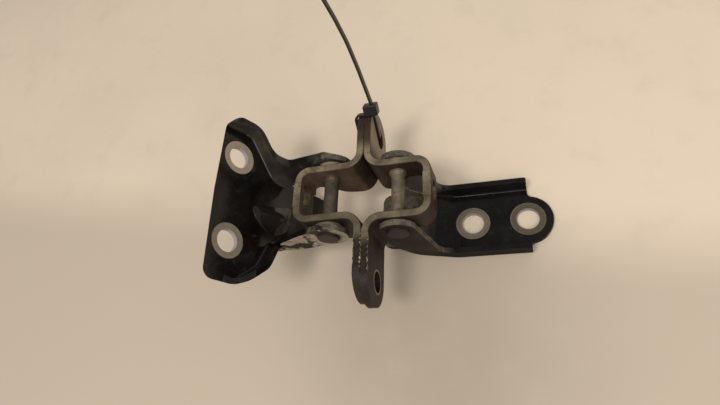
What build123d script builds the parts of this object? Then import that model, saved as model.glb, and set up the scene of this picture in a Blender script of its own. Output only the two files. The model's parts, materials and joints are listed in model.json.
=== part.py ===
from build123d import *
import os
from math import cos, radians, sin, sqrt, tan

# A pair of vehicle door hinges, held foot to foot by a cable tie. Hinge a lies
# to -X and hinge b to +X. X runs across both, Y along the pins, Z up.

# Bracket strap, one bent strip for each hinge
strap_thickness = 3.9
strap_near_edge = 9.0
strap_far_edge = 20.0
foot_hole_upper = 39.8
foot_hole_lower = 42.4
foot_hole_drop = 8.4
foot_hole_radius = 5.5
upper_tip_beyond_hole = 13.2
lower_tip_beyond_hole_a = 11.1
lower_tip_beyond_hole_b = 13.2
foot_bend_radius = 6.0
web_bend_radius = 4.0
strap_edge_break = 0.3

# Loop of each bracket, measured from the plane where the feet meet
web_distance_a = 37.8
web_distance_b = 35.0
pin_distance_a = 20.2
pin_distance_b = 16.4
loop_half_gap_a = 12.05
loop_half_gap_b = 12.6
loop_offset_a = 1.5
leg_far_edge = 17.8
web_far_edge_a = 8.0
web_corner_edge_a = 11.5
web_corner_start_a = 9.0
web_corner_run_a = 3.6
web_far_edge_b = 6.2
relief_inner_a = 17.5
relief_inner_b = 8.5
relief_run = 11.5
relief_radius = 7.0
web_hole_length_a = 12.0
web_hole_shift_a = 2.5
web_hole_rise_a = 1.6
web_hole_length_b = 11.0
web_hole_height_a = 10.0
web_hole_height_b = 8.0
web_pad_length = 13.4
web_pad_height = 0.35

# Hinge pins, bushes and washers
pin_radius_a = 3.8
pin_radius_b = 3.45
pin_collar_radius_a = 4.3
pin_collar_radius_b = 4.6
pin_collar_length = 1.0
pin_flare_length = 1.8
pin_edge_break = 0.5
pin_head_radius = 5.8
pin_head_height = 1.5
rivet_radius = 5.2
rivet_height = 1.0
seat_clearance = 0.02
running_clearance = 0.05
face_clearance = 0.1
bush_wall = 1.0
bush_flange_radius = 7.4
bush_flange_a = 2.4
bush_flange_b = 0.9
washer_radius = 7.0
washer_thickness = 1.2

# Pressed steel leaves
sheet = 3.0
bolt_hole_radius = 6.0
bolt_ring_radius = 9.5
bolt_ring_depth = 0.25
bend_inside_radius = 1.4

# Leaf a, a wide head on a short arm, standing at an angle
leaf_a_angle = 66.1
plate_depth_a = 38.9
ear_radius_a = 10.3
free_edge_a = 46.8
head_upper_a = 43.3
head_lower_a = 47.0
bolt_reach_a = 34.3
bolt_upper_a = 23.7
bolt_lower_a = 24.9
flange_height_a = 8.0
plate_end_a = 0.2
tongue_low_side_a = 5.0
tongue_corner_radius_a = 4.0
dome_reach = 7.5
dome_shift = 1.0
dome_radius = 13.8
dome_top_radius = 8.6
dome_height = 4.5
dome_edge_radius = 3.5

# Leaf b, a straight channel lying flat
plate_depth_b = 46.2
ear_radius_b = 9.3
channel_end_b = 62.5
bolt_first_b = 31.9
bolt_spacing_b = 29.8
bolt_line_drop_b = 0.6
tongue_centre_b = 61.5
tongue_drop_b = 0.9
tongue_radius_b = 13.6
tongue_blend_b = 2.6
flange_height_b = 8.7
ramp_start_b = 22.5
ramp_end_b = 3.0
ramp_angle_b = 24.0
tab_reach_b = 17.2
tab_side_gap_b = 1.5
tab_rise_b = 14.5
tab_corner_radius = 6.0
flange_corner_radius_b = 3.0

# Cable tie through the upper foot holes
tie_width = 3.6
tie_thickness = 1.2
tie_clearance = 0.15
tie_slack = 1.5
tie_bend_radius = 0.9
tie_slack_radius = 2.6
tie_angle = 54.0
tie_line_offset = 2.8
tie_head_width = 7.6
tie_head_length = 6.0
tie_head_depth = 5.6
tie_head_shift = 3.4
tie_edge_break = 0.5
tail_offset = 4.9
tail_depth = 2.4
tail_direction = (-0.2071, 0.572, 0.7937)
tail_face = (-0.0256, -0.8142, 0.5801)
tail_path = [(-3.8, 0.6), (7.5, -0.3), (22, -1.4), (36.6, -2.0), (49.7, -1.4), (63.4, 0)]
tail_bend_radius = 56.0

# Places that follow from the sizes. The origin is midway between the two bolt
# holes of leaf b, on its underside.
pin_x_b = -(bolt_first_b + bolt_spacing_b / 2)
pin_z = plate_depth_b + sheet
contact_x = pin_x_b - pin_distance_b
pin_x_a = contact_x - pin_distance_a
loop_y_b = bolt_line_drop_b
loop_y_a = loop_y_b + loop_offset_a
ear_in_a = loop_half_gap_a + strap_thickness + bush_flange_a + face_clearance
ear_in_b = loop_half_gap_b + strap_thickness + bush_flange_b + face_clearance
ear_out_a = ear_in_a + sheet
ear_out_b = ear_in_b + sheet
bush_bore_a = pin_radius_a + running_clearance
bush_bore_b = pin_radius_b + running_clearance
bush_outer_a = bush_bore_a + bush_wall
bush_outer_b = bush_bore_b + bush_wall
lean = radians(leaf_a_angle)
axis_a = Vector(pin_x_a, loop_y_a, pin_z)
axis_b = Vector(pin_x_b, loop_y_b, pin_z)
u_a = Vector(-cos(lean), 0, sin(lean))
n_a = Vector(sin(lean), 0, cos(lean))

# side planes look along the pins, plan planes look square to each plate
side_a = Plane(origin=axis_a, x_dir=u_a, z_dir=(0, 1, 0))
side_b = Plane(origin=axis_b, x_dir=(1, 0, 0), z_dir=(0, -1, 0))
plan_a = Plane(origin=axis_a, x_dir=u_a, z_dir=n_a * -1)
plan_b = Plane(origin=axis_b, x_dir=(1, 0, 0), z_dir=(0, 0, 1))
turn_a = Plane(origin=axis_a, x_dir=(1, 0, 0), z_dir=(0, 0, 1))
turn_b = Plane(origin=axis_b, x_dir=(1, 0, 0), z_dir=(0, 0, 1))
strap_plane = Plane(origin=(contact_x, 0, pin_z), x_dir=(1, 0, 0), z_dir=(0, 0, 1))
foot_plane = Plane(origin=(contact_x, 0, pin_z), x_dir=(0, 1, 0), z_dir=(1, 0, 0))
edge_plane = Plane(origin=(contact_x, 0, pin_z), x_dir=(1, 0, 0), z_dir=(0, -1, 0))

tip_upper = foot_hole_upper + upper_tip_beyond_hole
tip_lower_a = foot_hole_lower + lower_tip_beyond_hole_a
tip_lower_b = foot_hole_lower + lower_tip_beyond_hole_b
foot_height = strap_near_edge + strap_far_edge
foot_middle = (strap_near_edge - strap_far_edge) / 2
half_strap = strap_thickness / 2
web_mid_a = web_distance_a - half_strap
web_mid_b = web_distance_b - half_strap
leg_mid_a = loop_half_gap_a + half_strap
leg_mid_b = loop_half_gap_b + half_strap
strap_bends = [foot_bend_radius + half_strap, web_bend_radius + half_strap]
strap_bends = strap_bends + strap_bends[::-1]


with BuildPart() as left_bracket:
    with BuildSketch(strap_plane.offset(-strap_far_edge)):
        with BuildLine():
            FilletPolyline(
                (-half_strap, -tip_lower_a),
                (-half_strap, loop_y_a - leg_mid_a),
                (-web_mid_a, loop_y_a - leg_mid_a),
                (-web_mid_a, loop_y_a + leg_mid_a),
                (-half_strap, loop_y_a + leg_mid_a),
                (-half_strap, tip_upper),
                radius=strap_bends,
            )
        trace(line_width=strap_thickness)
    extrude(amount=foot_height)
    chamfer(left_bracket.faces().sort_by(Axis.Z)[-1].edges(), strap_edge_break)
    with BuildSketch(foot_plane):
        with Locations(((tip_upper - tip_lower_a) / 2, foot_middle)):
            SlotOverall(tip_upper + tip_lower_a, foot_height)
    extrude(amount=web_distance_a + 1, both=True, mode=Mode.INTERSECT)
    # the strap narrows round the pin and the web, less at the upper corner
    with BuildSketch(edge_plane.offset(-loop_y_a - web_corner_start_a)):
        with BuildLine():
            FilletPolyline(
                (-strap_thickness, -strap_far_edge - 1),
                (-strap_thickness, -strap_far_edge),
                (-relief_inner_a, -leg_far_edge),
                (-relief_inner_a - relief_run, -web_far_edge_a),
                (-web_distance_a - 1, -web_far_edge_a),
                (-web_distance_a - 1, -strap_far_edge - 1),
                radius=[0, 0, relief_radius, relief_radius, 0, 0],
                close=True,
            )
        make_face()
    extrude(amount=tip_lower_a + tip_upper, mode=Mode.SUBTRACT)
    with BuildSketch(edge_plane.offset(-loop_y_a - web_corner_start_a)):
        with BuildLine():
            FilletPolyline(
                (-strap_thickness, -strap_far_edge - 1),
                (-strap_thickness, -strap_far_edge),
                (-relief_inner_a, -leg_far_edge),
                (-relief_inner_a - relief_run, -web_far_edge_a),
                (-web_distance_a + web_corner_run_a, -web_far_edge_a),
                (-web_distance_a + web_corner_run_a, -web_corner_edge_a),
                (-web_distance_a - 1, -web_corner_edge_a),
                (-web_distance_a - 1, -strap_far_edge - 1),
                radius=[0, 0, relief_radius, relief_radius, 0, 0, 0, 0],
                close=True,
            )
        make_face()
    extrude(amount=-tip_upper, mode=Mode.SUBTRACT)
    with BuildSketch(strap_plane.offset(strap_near_edge - strap_edge_break)):
        with Locations((-web_mid_a, loop_y_a)):
            Rectangle(strap_thickness, web_pad_length)
    extrude(amount=strap_edge_break + web_pad_height)
    with BuildSketch(foot_plane):
        with Locations((foot_hole_upper, -foot_hole_drop), (-foot_hole_lower, -foot_hole_drop)):
            Circle(foot_hole_radius)
    extrude(amount=2 * strap_thickness, both=True, mode=Mode.SUBTRACT)
    with BuildSketch(foot_plane.offset(-web_mid_a)):
        with Locations((loop_y_a + web_hole_shift_a, web_hole_rise_a)):
            SlotOverall(web_hole_length_a, web_hole_height_a)
    extrude(amount=strap_thickness, both=True, mode=Mode.SUBTRACT)
    with BuildSketch(side_a):
        Circle(pin_radius_a + seat_clearance)
    extrude(amount=loop_half_gap_a + 2 * strap_thickness, both=True, mode=Mode.SUBTRACT)
left_bracket.part.label = "left_bracket"


with BuildPart() as right_bracket:
    with BuildSketch(strap_plane.offset(-strap_far_edge)):
        with BuildLine():
            FilletPolyline(
                (half_strap, -tip_lower_b),
                (half_strap, loop_y_b - leg_mid_b),
                (web_mid_b, loop_y_b - leg_mid_b),
                (web_mid_b, loop_y_b + leg_mid_b),
                (half_strap, loop_y_b + leg_mid_b),
                (half_strap, tip_upper),
                radius=strap_bends,
            )
        trace(line_width=strap_thickness)
    extrude(amount=foot_height)
    chamfer(right_bracket.faces().sort_by(Axis.Z)[-1].edges(), strap_edge_break)
    with BuildSketch(foot_plane):
        with Locations(((tip_upper - tip_lower_b) / 2, foot_middle)):
            SlotOverall(tip_upper + tip_lower_b, foot_height)
    extrude(amount=web_distance_b + 1, both=True, mode=Mode.INTERSECT)
    with BuildSketch(edge_plane):
        with BuildLine():
            FilletPolyline(
                (strap_thickness, -strap_far_edge - 1),
                (strap_thickness, -strap_far_edge),
                (relief_inner_b, -leg_far_edge),
                (relief_inner_b + relief_run, -web_far_edge_b),
                (web_distance_b + 1, -web_far_edge_b),
                (web_distance_b + 1, -strap_far_edge - 1),
                radius=[0, 0, relief_radius / 2, relief_radius, 0, 0],
                close=True,
            )
        make_face()
    extrude(amount=tip_lower_b, both=True, mode=Mode.SUBTRACT)
    with BuildSketch(strap_plane.offset(strap_near_edge - strap_edge_break)):
        with Locations((web_mid_b, loop_y_b)):
            Rectangle(strap_thickness, web_pad_length)
    extrude(amount=strap_edge_break + web_pad_height)
    with BuildSketch(foot_plane):
        with Locations((foot_hole_upper, -foot_hole_drop), (-foot_hole_lower, -foot_hole_drop)):
            Circle(foot_hole_radius)
    extrude(amount=2 * strap_thickness, both=True, mode=Mode.SUBTRACT)
    with BuildSketch(foot_plane.offset(web_mid_b)):
        with Locations((loop_y_b, 0)):
            SlotOverall(web_hole_length_b, web_hole_height_b)
    extrude(amount=strap_thickness, both=True, mode=Mode.SUBTRACT)
    with BuildSketch(side_b):
        Circle(pin_radius_b + seat_clearance)
    extrude(amount=loop_half_gap_b + 2 * strap_thickness, both=True, mode=Mode.SUBTRACT)
right_bracket.part.label = "right_bracket"


head_face_a = ear_out_a + face_clearance
rivet_face_a = ear_out_a + face_clearance + washer_thickness
with BuildPart() as left_pin:
    with BuildSketch(turn_a):
        with BuildLine():
            Polyline(
                (0, -head_face_a - pin_head_height),
                (pin_head_radius - pin_edge_break, -head_face_a - pin_head_height),
                (pin_head_radius, -head_face_a - pin_head_height + pin_edge_break),
                (pin_head_radius, -head_face_a),
                (pin_radius_a, -head_face_a),
                (pin_radius_a, loop_half_gap_a - pin_collar_length - pin_flare_length),
                (pin_collar_radius_a, loop_half_gap_a - pin_collar_length),
                (pin_collar_radius_a, loop_half_gap_a),
                (pin_radius_a, loop_half_gap_a),
                (pin_radius_a, rivet_face_a),
                (rivet_radius, rivet_face_a),
                (rivet_radius - pin_edge_break, rivet_face_a + rivet_height),
                (0, rivet_face_a + rivet_height),
                close=True,
            )
        make_face()
    revolve(axis=Axis(axis_a, (0, 1, 0)))
left_pin.part.label = "left_pin"

head_face_b = ear_out_b + face_clearance
rivet_face_b = ear_out_b + face_clearance + washer_thickness
with BuildPart() as right_pin:
    with BuildSketch(turn_b):
        with BuildLine():
            Polyline(
                (0, -head_face_b - pin_head_height),
                (pin_head_radius - pin_edge_break, -head_face_b - pin_head_height),
                (pin_head_radius, -head_face_b - pin_head_height + pin_edge_break),
                (pin_head_radius, -head_face_b),
                (pin_radius_b, -head_face_b),
                (pin_radius_b, loop_half_gap_b - pin_collar_length - pin_flare_length),
                (pin_collar_radius_b, loop_half_gap_b - pin_collar_length),
                (pin_collar_radius_b, loop_half_gap_b),
                (pin_radius_b, loop_half_gap_b),
                (pin_radius_b, rivet_face_b),
                (rivet_radius, rivet_face_b),
                (rivet_radius - pin_edge_break, rivet_face_b + rivet_height),
                (0, rivet_face_b + rivet_height),
                close=True,
            )
        make_face()
    revolve(axis=Axis(axis_b, (0, 1, 0)))
right_pin.part.label = "right_pin"

with BuildPart() as left_washer:
    with BuildSketch(side_a.offset(ear_out_a + face_clearance)):
        Circle(washer_radius)
        Circle(pin_radius_a + seat_clearance, mode=Mode.SUBTRACT)
    extrude(amount=washer_thickness)
    chamfer(left_washer.edges().group_by(Axis.Y)[-1].sort_by(SortBy.LENGTH)[-1], pin_edge_break)
left_washer.part.label = "left_washer"

with BuildPart() as right_washer:
    with BuildSketch(side_b.offset(-ear_out_b - face_clearance)):
        Circle(washer_radius)
        Circle(pin_radius_b + seat_clearance, mode=Mode.SUBTRACT)
    extrude(amount=-washer_thickness)
    chamfer(right_washer.edges().group_by(Axis.Y)[-1].sort_by(SortBy.LENGTH)[-1], pin_edge_break)
right_washer.part.label = "right_washer"


with BuildPart() as left_upper_bush:
    with BuildSketch(side_a.offset(ear_in_a)):
        Circle(bush_outer_a)
    extrude(amount=sheet)
    with BuildSketch(side_a.offset(ear_in_a)):
        Circle(bush_flange_radius)
    extrude(amount=-bush_flange_a)
    with BuildSketch(side_a):
        Circle(bush_bore_a)
    extrude(amount=ear_out_a + 1, mode=Mode.SUBTRACT)
left_upper_bush.part.label = "left_upper_bush"

with BuildPart() as left_lower_bush:
    with BuildSketch(side_a.offset(-ear_in_a)):
        Circle(bush_outer_a)
    extrude(amount=-sheet)
    with BuildSketch(side_a.offset(-ear_in_a)):
        Circle(bush_flange_radius)
    extrude(amount=bush_flange_a)
    with BuildSketch(side_a):
        Circle(bush_bore_a)
    extrude(amount=-ear_out_a - 1, mode=Mode.SUBTRACT)
left_lower_bush.part.label = "left_lower_bush"

with BuildPart() as right_upper_bush:
    with BuildSketch(side_b.offset(-ear_in_b)):
        Circle(bush_outer_b)
    extrude(amount=-sheet)
    with BuildSketch(side_b.offset(-ear_in_b)):
        Circle(bush_flange_radius)
    extrude(amount=bush_flange_b)
    with BuildSketch(side_b):
        Circle(bush_bore_b)
    extrude(amount=-ear_out_b - 1, mode=Mode.SUBTRACT)
right_upper_bush.part.label = "right_upper_bush"

with BuildPart() as right_lower_bush:
    with BuildSketch(side_b.offset(ear_in_b)):
        Circle(bush_outer_b)
    extrude(amount=sheet)
    with BuildSketch(side_b.offset(ear_in_b)):
        Circle(bush_flange_radius)
    extrude(amount=-bush_flange_b)
    with BuildSketch(side_b):
        Circle(bush_bore_b)
    extrude(amount=ear_out_b + 1, mode=Mode.SUBTRACT)
right_lower_bush.part.label = "right_lower_bush"


# Leaf a: a pressed plate with a curved flange, two ears, a dome and a stop tongue
wall_top_a = ear_radius_a + 2
shoulder_reach_a = 27.5
neck_reach_a = 8.5
lower_shoulder_a = 25.5
lower_elbow_reach_a = 11.5
lower_elbow_a = 35.5
lower_neck_a = 6.0
shoulder_radius_a = 9.0
elbow_radius_a = 11.0
upper_neck_radius_a = 9.0
neck_radius_a = 7.0
bend_outside_radius = bend_inside_radius + sheet
plate_top_a = -plate_depth_a
flange_top_a = plate_top_a + flange_height_a
plate_bottom_a = plate_top_a - sheet
bend_top_a = plate_top_a + bend_inside_radius
# the edges of both ears towards the bracket, from the pin down to the plate
ear_edge_a = [
    (-7.4, -10.5),
    (-6.6, -18.8),
    (-4.6, plate_top_a + 12.0),
    (-0.4, plate_top_a + 4.1),
]

with BuildPart() as space_a:
    with BuildSketch(plan_a.offset(plate_depth_a)):
        with BuildLine():
            FilletPolyline(
                (2 * free_edge_a, head_upper_a - sheet),
                (shoulder_reach_a + sheet * 0.43, head_upper_a - sheet),
                (neck_reach_a + sheet * 0.43, ear_in_a),
                (-2 * ear_radius_a, ear_in_a),
                (-2 * ear_radius_a, -ear_in_a),
                (lower_neck_a + sheet * 0.7, -ear_in_a),
                (lower_elbow_reach_a + sheet, -lower_elbow_a + sheet * 0.6),
                (lower_shoulder_a + sheet * 0.4, -head_lower_a + sheet),
                (2 * free_edge_a, -head_lower_a + sheet),
                radius=[
                    0,
                    shoulder_radius_a,
                    upper_neck_radius_a,
                    0,
                    0,
                    neck_radius_a,
                    elbow_radius_a,
                    elbow_radius_a,
                    0,
                ],
                close=True,
            )
        make_face()
    extrude(amount=-plate_depth_a - wall_top_a - 1)
    fillet(space_a.faces().filter_by(plan_a).sort_by(Axis(axis_a, n_a))[0].edges(), bend_inside_radius)

with BuildPart() as outline_a:
    with BuildSketch(side_a):
        with BuildLine():
            FilletPolyline(
                (free_edge_a + 1, plate_bottom_a - 1),
                (free_edge_a + 1, plate_top_a),
                (free_edge_a - 5, flange_top_a),
                (17.0, flange_top_a),
                (12.4, flange_top_a + 7.9),
                (ear_radius_a, 0),
                (-ear_radius_a, 0),
                *ear_edge_a,
                (plate_end_a, plate_bottom_a - 1),
                radius=[0, 0, 6, 6, 12, 0, 0, 3, 12, 12, 4, 0],
                close=True,
            )
        make_face()
        Circle(ear_radius_a)
    extrude(amount=head_upper_a + 1)
    with BuildSketch(side_a):
        with BuildLine():
            FilletPolyline(
                (free_edge_a + 1, plate_bottom_a - 1),
                (free_edge_a + 1, plate_top_a),
                (31, plate_top_a),
                (22, flange_top_a),
                (-2.4, flange_top_a),
                ear_edge_a[-1],
                (plate_end_a, plate_bottom_a - 1),
                radius=[0, 0, 8, 8, 0, 4, 0],
                close=True,
            )
        make_face()
    extrude(amount=-head_lower_a - 1)

# the tongue runs on in the plane of the plate until its corner meets the table
tongue_end_a = (-plate_bottom_a * cos(lean) - pin_z) / sin(lean)
dome_slope = dome_height / (dome_radius - dome_top_radius)
dome_inset = sheet * (sqrt(1 + dome_slope**2) - 1) / dome_slope

with BuildPart() as left_leaf:
    with BuildSketch(plan_a.offset(plate_depth_a + sheet)):
        with BuildLine():
            FilletPolyline(
                (free_edge_a - 1.3, head_upper_a),
                (shoulder_reach_a, head_upper_a),
                (neck_reach_a, ear_out_a),
                (-2 * ear_radius_a, ear_out_a),
                (-2 * ear_radius_a, -ear_out_a),
                (lower_neck_a, -ear_out_a),
                (lower_elbow_reach_a, -lower_elbow_a),
                (lower_shoulder_a, -head_lower_a),
                (free_edge_a - 0.8, -head_lower_a),
                (free_edge_a, 0),
                radius=[
                    6,
                    shoulder_radius_a + sheet,
                    upper_neck_radius_a - sheet,
                    0,
                    0,
                    neck_radius_a - sheet,
                    elbow_radius_a + sheet,
                    elbow_radius_a + sheet,
                    6,
                    60,
                ],
                close=True,
            )
        make_face()
    extrude(amount=-plate_depth_a - sheet - wall_top_a)
    fillet(
        left_leaf.faces().filter_by(plan_a).sort_by(Axis(axis_a, n_a))[0].edges()
        .sort_by(Axis(axis_a, u_a))[1:],
        bend_outside_radius,
    )
    add(space_a.part, mode=Mode.SUBTRACT)
    add(outline_a.part, mode=Mode.INTERSECT)
    # lower ear, flat up from its bend
    with BuildSketch(side_a.offset(-ear_in_a)):
        with BuildLine():
            FilletPolyline(
                (lower_neck_a, bend_top_a),
                (lower_neck_a, flange_top_a),
                (8.2, flange_top_a + 2.4),
                (9.8, -15),
                (ear_radius_a, 0),
                (-ear_radius_a, 0),
                *ear_edge_a,
                (plate_end_a - 0.3, bend_top_a),
                radius=[0, 0, 1.5, 12, 0, 0, 3, 12, 12, 0, 0],
                close=True,
            )
        make_face()
        Circle(ear_radius_a)
    extrude(amount=-sheet)
    with BuildSketch(plan_a.offset(plate_depth_a)):
        with BuildLine():
            FilletPolyline(
                (lower_neck_a, ear_in_a - bend_inside_radius),
                (plate_end_a, ear_in_a - bend_inside_radius),
                (plate_end_a, ear_out_a),
                (tongue_end_a, ear_out_a),
                (tongue_end_a, -tongue_low_side_a),
                (plate_end_a, bend_inside_radius - ear_in_a),
                (lower_neck_a, bend_inside_radius - ear_in_a),
                radius=[0, 0, 0, tongue_corner_radius_a, tongue_corner_radius_a, 0, 0],
                close=True,
            )
        make_face()
    extrude(amount=sheet)
    dome_axis = Axis(side_a.from_local_coords(Vector(dome_reach, 0, dome_shift)), n_a)
    with BuildSketch(side_a.offset(dome_shift)):
        with BuildLine():
            FilletPolyline(
                (dome_reach, plate_top_a - 0.5),
                (dome_reach, plate_top_a + dome_height),
                (dome_reach + dome_top_radius, plate_top_a + dome_height),
                (dome_reach + dome_radius, plate_top_a),
                (dome_reach + dome_radius, plate_top_a - 0.5),
                radius=[0, 0, dome_edge_radius, 0, 0],
                close=True,
            )
        make_face()
    revolve(axis=dome_axis)
    with BuildSketch(side_a.offset(dome_shift)):
        with BuildLine():
            FilletPolyline(
                (dome_reach, plate_bottom_a - 0.5),
                (dome_reach, plate_bottom_a + dome_height),
                (dome_reach + dome_top_radius - dome_inset, plate_bottom_a + dome_height),
                (dome_reach + dome_radius - dome_inset, plate_bottom_a),
                (dome_reach + dome_radius - dome_inset, plate_bottom_a - 0.5),
                radius=[0, 0, dome_edge_radius / 2, 0, 0],
                close=True,
            )
        make_face()
    revolve(axis=dome_axis, mode=Mode.SUBTRACT)
    with BuildSketch(plan_a.offset(plate_depth_a)):
        with Locations((bolt_reach_a, bolt_upper_a), (bolt_reach_a, -bolt_lower_a)):
            Circle(bolt_ring_radius)
    extrude(amount=bolt_ring_depth, mode=Mode.SUBTRACT)
    with BuildSketch(plan_a.offset(plate_depth_a)):
        with Locations((bolt_reach_a, bolt_upper_a), (bolt_reach_a, -bolt_lower_a)):
            Circle(bolt_hole_radius)
    extrude(amount=2 * sheet, mode=Mode.SUBTRACT)
    with BuildSketch(side_a):
        Circle(bush_outer_a + seat_clearance)
    extrude(amount=ear_out_a + 1, both=True, mode=Mode.SUBTRACT)
left_leaf.part.label = "left_leaf"


# Leaf b: a channel whose floor ramps up towards the pin
plate_top_b = -plate_depth_b
plate_bottom_b = plate_top_b - sheet
floor_line_b = plate_top_b - sheet / 2
ramp_rise_b = (ramp_start_b - ramp_end_b) * tan(radians(ramp_angle_b))
floor_bend_radius = 9.5
wall_top_b = ear_radius_b + 2

with BuildPart() as space_b:
    with BuildSketch(side_b):
        with BuildLine():
            FilletPolyline(
                (channel_end_b + 1, wall_top_b + 1),
                (channel_end_b + 1, plate_top_b),
                (ramp_start_b + tan(radians(ramp_angle_b / 2)) * sheet / 2, plate_top_b),
                (ramp_end_b - 2 * tab_reach_b, plate_top_b + ramp_rise_b + 2 * tab_reach_b * tan(radians(ramp_angle_b))),
                (ramp_end_b - 2 * tab_reach_b, wall_top_b + 1),
                radius=[0, 0, floor_bend_radius - sheet / 2, 0, 0],
                close=True,
            )
        make_face()
    extrude(amount=ear_in_b, both=True)
    fillet(
        space_b.edges().filter_by(
            lambda e: abs(abs(e.center().Y - loop_y_b) - ear_in_b) < 0.01
            and e.center().Z < pin_z + wall_top_b
            and abs(e.tangent_at(0.5).X) > 0.5
        ),
        bend_inside_radius,
    )

with BuildPart() as outline_b:
    with BuildSketch(side_b):
        with BuildLine():
            FilletPolyline(
                (channel_end_b + 1, plate_bottom_b - 1),
                (channel_end_b + 1, plate_top_b + flange_height_b),
                (15.5, plate_top_b + flange_height_b),
                (ear_radius_b, 0),
                (-ear_radius_b, 0),
                (-7.6, -20.5),
                (-0.5, -32.5),
                (6.5, -40.0),
                (9.5, plate_bottom_b - 1),
                radius=[0, flange_corner_radius_b, 8, 0, 0, 8, 6, 3, 0],
                close=True,
            )
        make_face()
        Circle(ear_radius_b)
    extrude(amount=ear_out_b + 1, both=True)

with BuildPart() as right_leaf:
    with BuildSketch(side_b):
        with BuildLine():
            FilletPolyline(
                (channel_end_b, wall_top_b),
                (channel_end_b, plate_bottom_b),
                (ramp_start_b - tan(radians(ramp_angle_b / 2)) * sheet / 2, plate_bottom_b),
                (-tab_reach_b, plate_bottom_b + (ramp_start_b + tab_reach_b) * tan(radians(ramp_angle_b))),
                (-tab_reach_b, wall_top_b),
                radius=[0, 0, floor_bend_radius + sheet / 2, 0, 0],
                close=True,
            )
        make_face()
    extrude(amount=ear_out_b, both=True)
    fillet(
        right_leaf.edges().filter_by(
            lambda e: abs(abs(e.center().Y - loop_y_b) - ear_out_b) < 0.01
            and e.center().Z < pin_z
            and abs(e.tangent_at(0.5).X) > 0.5
        ),
        bend_outside_radius,
    )
    add(space_b.part, mode=Mode.SUBTRACT)
    add(outline_b.part, mode=Mode.INTERSECT)
    with BuildSketch(side_b):
        with BuildLine():
            FilletPolyline(
                (bolt_first_b, floor_line_b),
                (ramp_start_b, floor_line_b),
                (ramp_end_b, floor_line_b + ramp_rise_b),
                (-tab_reach_b, floor_line_b + tab_rise_b),
                radius=[floor_bend_radius, floor_bend_radius],
            )
        trace(line_width=sheet)
    extrude(amount=ear_in_b - tab_side_gap_b, both=True)
    fillet(
        right_leaf.edges().filter_by(
            lambda e: e.center().X < pin_x_b - tab_reach_b + 1
            and abs(abs(e.center().Y - loop_y_b) - ear_in_b + tab_side_gap_b) < 0.01
            and e.length < sheet * 1.2
        ),
        tab_corner_radius,
    )
    with BuildSketch(plan_b.offset(plate_bottom_b)) as tongue:
        with Locations((channel_end_b - 8, 0)):
            Rectangle(16, 2 * ear_in_b)
        with Locations((tongue_centre_b, -tongue_drop_b)):
            Circle(tongue_radius_b)
        fillet(
            tongue.vertices().filter_by(
                lambda v: abs(v.X - channel_end_b) < 0.01 and abs(v.Y) < ear_in_b - 1
            ),
            tongue_blend_b,
        )
    extrude(amount=sheet)
    with BuildSketch(plan_b.offset(plate_top_b)):
        with Locations(
            (bolt_first_b, -bolt_line_drop_b), (bolt_first_b + bolt_spacing_b, -bolt_line_drop_b)
        ):
            Circle(bolt_ring_radius)
    extrude(amount=-bolt_ring_depth, mode=Mode.SUBTRACT)
    with BuildSketch(plan_b.offset(plate_top_b)):
        with Locations(
            (bolt_first_b, -bolt_line_drop_b), (bolt_first_b + bolt_spacing_b, -bolt_line_drop_b)
        ):
            Circle(bolt_hole_radius)
    extrude(amount=-2 * sheet, mode=Mode.SUBTRACT)
    with BuildSketch(side_b):
        Circle(bush_outer_b + seat_clearance)
    extrude(amount=ear_out_b + 1, both=True, mode=Mode.SUBTRACT)
right_leaf.part.label = "right_leaf"


# Cable tie: a loop through both upper holes and over the two tips. It leans
# towards the near edge, and its plane is drawn across the hinges and along the loop.
tie_turn = radians(tie_angle)
tie_along = Vector(0, cos(tie_turn), sin(tie_turn))
tie_across = Vector(0, -sin(tie_turn), cos(tie_turn))
upper_hole = Vector(contact_x, foot_hole_upper, pin_z - foot_hole_drop)
tie_plane = Plane(
    origin=upper_hole + tie_across * tie_line_offset,
    x_dir=(1, 0, 0),
    z_dir=tie_across,
)
tip_centre = Vector(contact_x, tip_upper - foot_height / 2, pin_z + foot_middle)
tip_reach = (tip_centre - tie_plane.origin).dot(tie_along) + foot_height / 2
hole_chord = sqrt(foot_hole_radius**2 - (tie_line_offset + tie_width / 2) ** 2)
loop_right = strap_thickness + tie_clearance + tie_thickness / 2
loop_left = strap_thickness + tie_slack + tie_thickness / 2
loop_low = hole_chord - tie_clearance - tie_thickness / 2
loop_high = tip_reach + tie_clearance + tie_thickness / 2
head_bottom = tip_reach + tie_clearance
head_top = head_bottom + tie_head_length

with BuildPart() as tie_loop:
    with BuildSketch(tie_plane):
        with BuildLine():
            FilletPolyline(
                (tie_head_shift - tie_head_width / 2, loop_high),
                (-loop_left, loop_high),
                (-loop_left, loop_low),
                (loop_right, loop_low),
                (loop_right, head_bottom),
                radius=[tie_slack_radius, tie_bend_radius, tie_bend_radius],
            )
        trace(line_width=tie_thickness)
    extrude(amount=tie_width / 2, both=True)
tie_loop.part.label = "tie_loop"

with BuildPart() as tie_head:
    with BuildSketch(tie_plane):
        with Locations((tie_head_shift, (head_bottom + head_top) / 2)):
            Rectangle(tie_head_width, tie_head_length)
    extrude(amount=tie_head_depth / 2, both=True)
    chamfer(tie_head.edges().group_by(Axis(tie_plane.origin, tie_along))[-1], tie_edge_break)
tie_head.part.label = "tie_head"

# the tail springs up out of the head and bends over
head_face = Plane(
    origin=tie_plane.from_local_coords(Vector(tail_offset, head_top, 0)), z_dir=tie_along
)
tail_root = head_face.origin - tie_along * tail_depth
tail_plane = Plane(origin=tail_root, x_dir=tail_direction, z_dir=tail_face)
with BuildPart() as tie_tail:
    with BuildSketch(tail_plane):
        with BuildLine():
            FilletPolyline(tail_path, radius=tail_bend_radius)
        trace(line_width=tie_thickness)
    extrude(amount=tie_width / 2, both=True)
    split(bisect_by=head_face, keep=Keep.TOP)
tie_tail.part.label = "tie_tail"

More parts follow.
